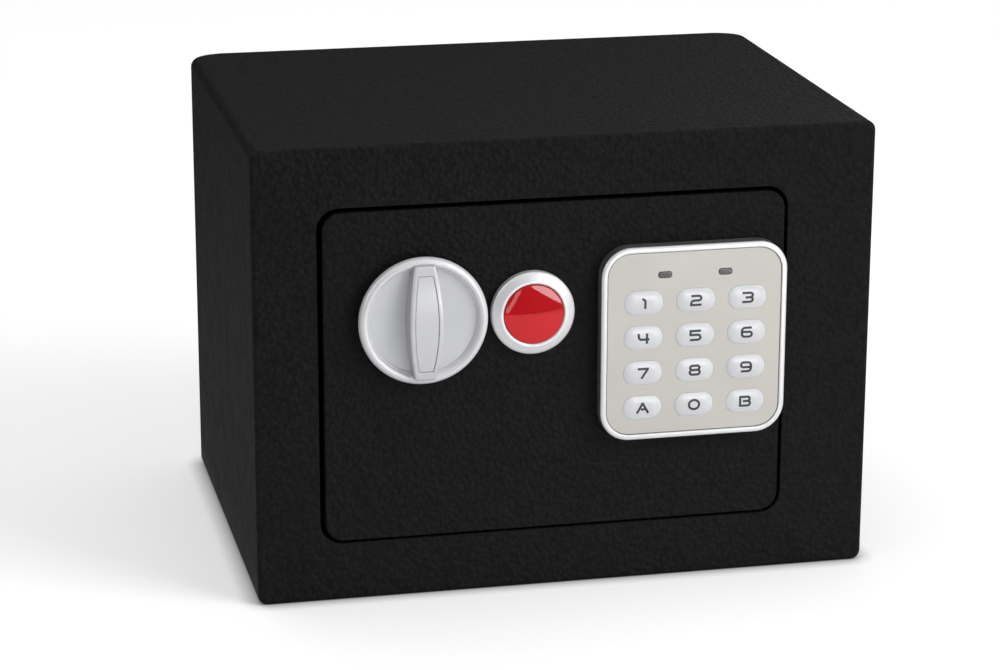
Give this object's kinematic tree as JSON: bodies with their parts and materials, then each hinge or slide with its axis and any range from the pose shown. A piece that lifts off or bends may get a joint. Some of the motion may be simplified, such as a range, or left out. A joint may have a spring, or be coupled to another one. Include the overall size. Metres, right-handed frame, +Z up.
{
  "type": "mini safe",
  "caption": "Small steel safe with a swing door, turning bolt knob, numeric keypad and an override lock under a round cap.",
  "frame": {"origin": "centre of the cabinet underside, on the surface it stands on", "axes": "+X to the right seen from the front, along the width; +Y from the front into the safe; +Z up"},
  "size_m": [0.23, 0.1814, 0.17],
  "materials": {
    "powder_coat": "textured black powder coat",
    "felt_grey": "needle felt",
    "zinc_steel": "zinc plated",
    "bright_steel": "turned and polished",
    "ring_silver": "satin, turned",
    "brass": "turned",
    "silver_plastic": "satin silver",
    "chrome_rim": "bright silver",
    "face_plastic": "matt beige grey",
    "key_plastic": "pearl white",
    "smoked_lens": "smoked",
    "red_enamel": "clear domed resin over red",
    "red_plastic": "moulded",
    "black_plastic": "moulded, fine texture",
    "nylon": "natural",
    "circuit_board": "solder mask",
    "copper_coil": "enamelled wire",
    "cell_wrap": "plain sleeve"
  },
  "bodies": {
    "cabinet": {"cabinet_shell": "powder_coat", "back_panel": "powder_coat", "floor_mat": "felt_grey", "bolt_keeper": "zinc_steel", "hinge_bracket_upper": "zinc_steel", "hinge_bracket_lower": "zinc_steel", "hinge_pin_upper": "bright_steel", "hinge_pin_lower": "bright_steel"},
    "door": {"door_plate": "powder_coat", "swan_neck_upper": "zinc_steel", "swan_neck_lower": "zinc_steel", "mechanism_cover": "powder_coat", "cover_screw_upper_left": "bright_steel", "cover_screw_upper_right": "bright_steel", "cover_screw_lower": "bright_steel", "keypad_housing": "chrome_rim", "keypad_faceplate": "face_plastic", "keypad_board": "circuit_board", "led_window_left": "smoked_lens", "led_window_right": "smoked_lens", "spindle_bush": "nylon", "guide_stud_lower": "bright_steel", "guide_stud_upper": "bright_steel", "lock_escutcheon": "ring_silver", "lock_body": "bright_steel", "lock_nut": "zinc_steel", "solenoid_frame": "zinc_steel", "solenoid_coil": "copper_coil", "plunger_spring": "bright_steel", "battery_tray": "black_plastic", "battery_1": "cell_wrap", "battery_2": "cell_wrap", "battery_3": "cell_wrap", "battery_4": "cell_wrap", "reset_switch": "black_plastic"},
    "knob": {"knob_dial": "silver_plastic", "knob_inlay": "silver_plastic", "knob_spindle": "bright_steel", "spindle_cam": "zinc_steel"},
    "boltwork": {"bolt_carrier": "zinc_steel", "bolt_upper": "bright_steel", "bolt_lower": "bright_steel"},
    "lock_core": {"lock_plug": "brass", "lock_tail": "zinc_steel"},
    "lock_cap": {"lock_cap": "red_enamel"},
    "plunger": {"solenoid_plunger": "bright_steel"},
    "key_1": {"key_1": "key_plastic"},
    "key_2": {"key_2": "key_plastic"},
    "key_3": {"key_3": "key_plastic"},
    "key_4": {"key_4": "key_plastic"},
    "key_5": {"key_5": "key_plastic"},
    "key_6": {"key_6": "key_plastic"},
    "key_7": {"key_7": "key_plastic"},
    "key_8": {"key_8": "key_plastic"},
    "key_9": {"key_9": "key_plastic"},
    "key_a": {"key_a": "key_plastic"},
    "key_0": {"key_0": "key_plastic"},
    "key_b": {"key_b": "key_plastic"},
    "reset_button": {"reset_button": "red_plastic"},
    "battery_cover": {"battery_cover": "black_plastic"}
  },
  "joints": [
    {"name": "door_swing", "type": "hinge", "parent": "cabinet", "child": "door", "pos_m": [0.104, -0.0795, 0.0842], "axis": [0, 0, 1], "range_deg": [0, 100]},
    {"name": "knob_turn", "type": "hinge", "parent": "door", "child": "knob", "pos_m": [-0.0541, -0.085, 0.1057], "axis": [0, -1, 0], "range_deg": [0, 90]},
    {"name": "bolt_throw", "type": "slide", "parent": "door", "child": "boltwork", "axis": [-1, 0, 0], "range_m": [0, 0.01343]},
    {"name": "plunger_lift", "type": "slide", "parent": "door", "child": "plunger", "axis": [0, 0, 1], "range_m": [0, 0.0018], "stiffness_N_per_m": 60, "springref_m": -0.001, "deforming": ["plunger_spring"]},
    {"name": "lock_turn", "type": "hinge", "parent": "door", "child": "lock_core", "pos_m": [-0.0135, -0.085, 0.1057], "axis": [0, 1, 0], "range_deg": [0, 90]},
    {"name": "cap_pull", "type": "slide", "parent": "door", "child": "lock_cap", "axis": [0, -1, 0], "range_m": [0, 0.012]},
    {"name": "key_1_press", "type": "slide", "parent": "door", "child": "key_1", "axis": [0, 1, 0], "range_m": [0, 0.0006], "stiffness_N_per_m": 400},
    {"name": "key_2_press", "type": "slide", "parent": "door", "child": "key_2", "axis": [0, 1, 0], "range_m": [0, 0.0006], "stiffness_N_per_m": 400},
    {"name": "key_3_press", "type": "slide", "parent": "door", "child": "key_3", "axis": [0, 1, 0], "range_m": [0, 0.0006], "stiffness_N_per_m": 400},
    {"name": "key_4_press", "type": "slide", "parent": "door", "child": "key_4", "axis": [0, 1, 0], "range_m": [0, 0.0006], "stiffness_N_per_m": 400},
    {"name": "key_5_press", "type": "slide", "parent": "door", "child": "key_5", "axis": [0, 1, 0], "range_m": [0, 0.0006], "stiffness_N_per_m": 400},
    {"name": "key_6_press", "type": "slide", "parent": "door", "child": "key_6", "axis": [0, 1, 0], "range_m": [0, 0.0006], "stiffness_N_per_m": 400},
    {"name": "key_7_press", "type": "slide", "parent": "door", "child": "key_7", "axis": [0, 1, 0], "range_m": [0, 0.0006], "stiffness_N_per_m": 400},
    {"name": "key_8_press", "type": "slide", "parent": "door", "child": "key_8", "axis": [0, 1, 0], "range_m": [0, 0.0006], "stiffness_N_per_m": 400},
    {"name": "key_9_press", "type": "slide", "parent": "door", "child": "key_9", "axis": [0, 1, 0], "range_m": [0, 0.0006], "stiffness_N_per_m": 400},
    {"name": "key_a_press", "type": "slide", "parent": "door", "child": "key_a", "axis": [0, 1, 0], "range_m": [0, 0.0006], "stiffness_N_per_m": 400},
    {"name": "key_0_press", "type": "slide", "parent": "door", "child": "key_0", "axis": [0, 1, 0], "range_m": [0, 0.0006], "stiffness_N_per_m": 400},
    {"name": "key_b_press", "type": "slide", "parent": "door", "child": "key_b", "axis": [0, 1, 0], "range_m": [0, 0.0006], "stiffness_N_per_m": 400},
    {"name": "reset_press", "type": "slide", "parent": "door", "child": "reset_button", "axis": [0, -1, 0], "range_m": [0, 0.0008], "stiffness_N_per_m": 400},
    {"name": "battery_cover_off", "type": "slide", "parent": "door", "child": "battery_cover", "axis": [0, 1, 0], "range_m": [0, 0.015]}
  ],
  "couplings": [
    {"joint": "knob_turn", "follows": "bolt_throw", "rad_per_m": 116.9}
  ]
}
